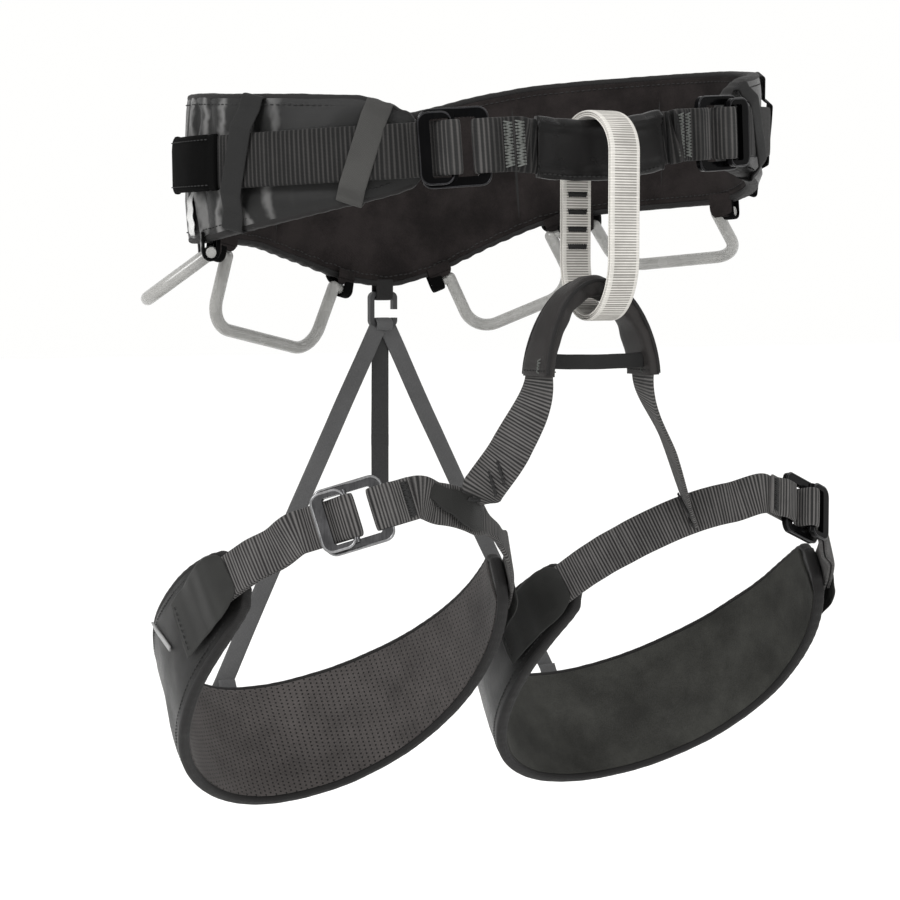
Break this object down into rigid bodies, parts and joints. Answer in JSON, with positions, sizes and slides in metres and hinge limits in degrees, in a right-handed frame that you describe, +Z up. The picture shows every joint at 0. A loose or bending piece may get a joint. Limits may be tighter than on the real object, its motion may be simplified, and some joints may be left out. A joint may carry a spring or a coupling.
{
  "type": "climbing harness",
  "caption": "Padded sit harness with a webbing waist belt, belay loop, adjustable leg loops, elastic risers and plastic gear loops.",
  "frame": {"origin": "centre of the waist opening, half way up the waist webbing", "axes": "+Z up, the wearer faces -Y, +X toward the wearer's left"},
  "size_m": [0.3634, 0.2423, 0.3874],
  "materials": {
    "belay_webbing": "ribbed light grey webbing",
    "belt_lining": "brushed dark brown-grey lining",
    "belt_shell": "dark grey softshell with a light sheen",
    "black_fabric": "black woven cover",
    "black_metal": "gloss black hard anodised",
    "foam": "closed-cell foam",
    "gear_plastic": "smooth translucent grey tube",
    "grey_webbing": "ribbed dark grey webbing",
    "hook_plastic": "moulded dark grey",
    "keeper_elastic": "grey elastic band",
    "leg_buckle_metal": "satin anodised, dark silver-grey",
    "leg_mesh": "perforated spacer mesh",
    "leg_shell": "dark grey woven shell",
    "riser_elastic": "grey elastic tape"
  },
  "bodies": {
    "waist_belt": {"gear_loop_tabs": "black_fabric", "riser_belt_tab": "riser_elastic", "riser_hook": "hook_plastic", "riser_tail": "riser_elastic", "tie_in_sleeve": "black_fabric", "tie_in_webbing": "grey_webbing", "waist_edge_binding": "black_fabric", "waist_foam_core": "foam", "waist_inner_lining": "belt_lining", "waist_keepers_left": "keeper_elastic", "waist_keepers_right": "keeper_elastic", "waist_left_buckle_frame": "black_metal", "waist_left_buckle_loop": "grey_webbing", "waist_left_strap_threading": "grey_webbing", "waist_outer_shell": "belt_shell", "waist_right_buckle_frame": "black_metal", "waist_right_buckle_loop": "grey_webbing", "waist_right_strap_threading": "grey_webbing", "waist_strap_left": "grey_webbing", "waist_strap_right": "grey_webbing", "waist_tail_ends": "black_fabric", "waist_tail_left": "grey_webbing", "waist_tail_right": "grey_webbing"},
    "belay_loop": {"belay_loop": "belay_webbing"},
    "leg_frame": {"leg_bridge_webbing": "grey_webbing", "leg_bridge_protector": "black_fabric", "leg_bridge_bar": "black_fabric", "v_leg_right": "grey_webbing", "v_leg_left": "grey_webbing", "riser_right": "riser_elastic", "riser_left": "riser_elastic"},
    "leg_loop_right": {"leg_right_buckle_frame": "leg_buckle_metal", "leg_right_buckle_loop": "grey_webbing", "leg_right_foam_core": "foam", "leg_right_lining": "leg_mesh", "leg_right_outer_shell": "leg_shell", "leg_right_strap_inner": "grey_webbing", "leg_right_strap_outer": "grey_webbing", "leg_right_strap_tail": "grey_webbing", "leg_right_strap_threading": "grey_webbing", "riser_anchor_right": "riser_elastic"},
    "leg_slider_right": {"leg_right_buckle_slider": "leg_buckle_metal"},
    "waist_slider_right": {"waist_right_buckle_slider": "black_metal"},
    "gear_loop_front_right": {"gear_loop_front_right": "gear_plastic"},
    "gear_loop_rear_right": {"gear_loop_rear_right": "gear_plastic"},
    "leg_loop_left": {"leg_left_buckle_frame": "black_metal", "leg_left_buckle_loop": "grey_webbing", "leg_left_foam_core": "foam", "leg_left_lining": "leg_mesh", "leg_left_outer_shell": "leg_shell", "leg_left_strap_inner": "grey_webbing", "leg_left_strap_outer": "grey_webbing", "leg_left_strap_tail": "grey_webbing", "leg_left_strap_threading": "grey_webbing", "riser_anchor_left": "riser_elastic"},
    "leg_slider_left": {"leg_left_buckle_slider": "black_metal"},
    "waist_slider_left": {"waist_left_buckle_slider": "black_metal"},
    "gear_loop_front_left": {"gear_loop_front_left": "gear_plastic"},
    "gear_loop_rear_left": {"gear_loop_rear_left": "gear_plastic"}
  },
  "joints": [
    {"name": "leg_frame_swing", "type": "hinge", "parent": "waist_belt", "child": "leg_frame", "pos_m": [0, -0.1101, -0.005], "axis": [1, 0, 0], "range_deg": [-15, 8], "stiffness_Nm_per_rad": 6, "deforming": ["riser_right", "riser_left"]},
    {"name": "belay_loop_swing", "type": "hinge", "parent": "waist_belt", "child": "belay_loop", "pos_m": [0, -0.1101, -0.005], "axis": [1, 0, 0], "range_deg": [-15, 8]},
    {"name": "waist_slider_right_tilt", "type": "hinge", "parent": "waist_belt", "child": "waist_slider_right", "pos_m": [-0.07682, -0.10467, -0.0053], "axis": [-0.0664, 0.0237, 0.9975], "range_deg": [0, 30]},
    {"name": "waist_slider_left_tilt", "type": "hinge", "parent": "waist_belt", "child": "waist_slider_left", "pos_m": [0.07682, -0.10467, 0.0053], "axis": [0.0664, 0.0237, -0.9975], "range_deg": [0, 30]},
    {"name": "leg_loop_right_rock", "type": "hinge", "parent": "leg_frame", "child": "leg_loop_right", "pos_m": [-0.05741, -0.08574, -0.1738], "axis": [-0.1577, 0.8719, -0.4636], "range_deg": [-12, 12]},
    {"name": "leg_slider_right_tilt", "type": "hinge", "parent": "leg_loop_right", "child": "leg_slider_right", "pos_m": [-0.12325, -0.09152, -0.17213], "axis": [-0.1813, 0.2749, 0.9442], "range_deg": [0, 30]},
    {"name": "leg_loop_left_rock", "type": "hinge", "parent": "leg_frame", "child": "leg_loop_left", "pos_m": [0.06878, -0.08574, -0.1808], "axis": [0.1731, 0.8695, -0.4626], "range_deg": [-12, 12]},
    {"name": "leg_slider_left_tilt", "type": "hinge", "parent": "leg_loop_left", "child": "leg_slider_left", "pos_m": [0.13972, -0.0917, -0.18054], "axis": [-0.2289, -0.29, -0.9292], "range_deg": [0, 30]},
    {"name": "gear_loop_front_right_flex", "type": "hinge", "parent": "waist_belt", "child": "gear_loop_front_right", "pos_m": [-0.13715, 0.02856, -0.05263], "axis": [0.3954, 0.9185, -0.0014], "range_deg": [-5, 40], "stiffness_Nm_per_rad": 0.08},
    {"name": "gear_loop_rear_right_flex", "type": "hinge", "parent": "waist_belt", "child": "gear_loop_rear_right", "pos_m": [-0.07032, 0.08469, -0.06188], "axis": [0.9117, 0.3644, -0.1898], "range_deg": [-5, 40], "stiffness_Nm_per_rad": 0.08},
    {"name": "gear_loop_front_left_flex", "type": "hinge", "parent": "waist_belt", "child": "gear_loop_front_left", "pos_m": [0.12896, 0.03279, -0.03366], "axis": [0.4641, -0.8819, 0.0829], "range_deg": [-5, 40], "stiffness_Nm_per_rad": 0.08},
    {"name": "gear_loop_rear_left_flex", "type": "hinge", "parent": "waist_belt", "child": "gear_loop_rear_left", "pos_m": [0.06595, 0.09009, -0.05372], "axis": [0.8737, -0.3079, 0.3766], "range_deg": [-5, 40], "stiffness_Nm_per_rad": 0.08}
  ],
  "couplings": [
    {"joint": "belay_loop_swing", "follows": "leg_frame_swing", "ratio": 1}
  ]
}
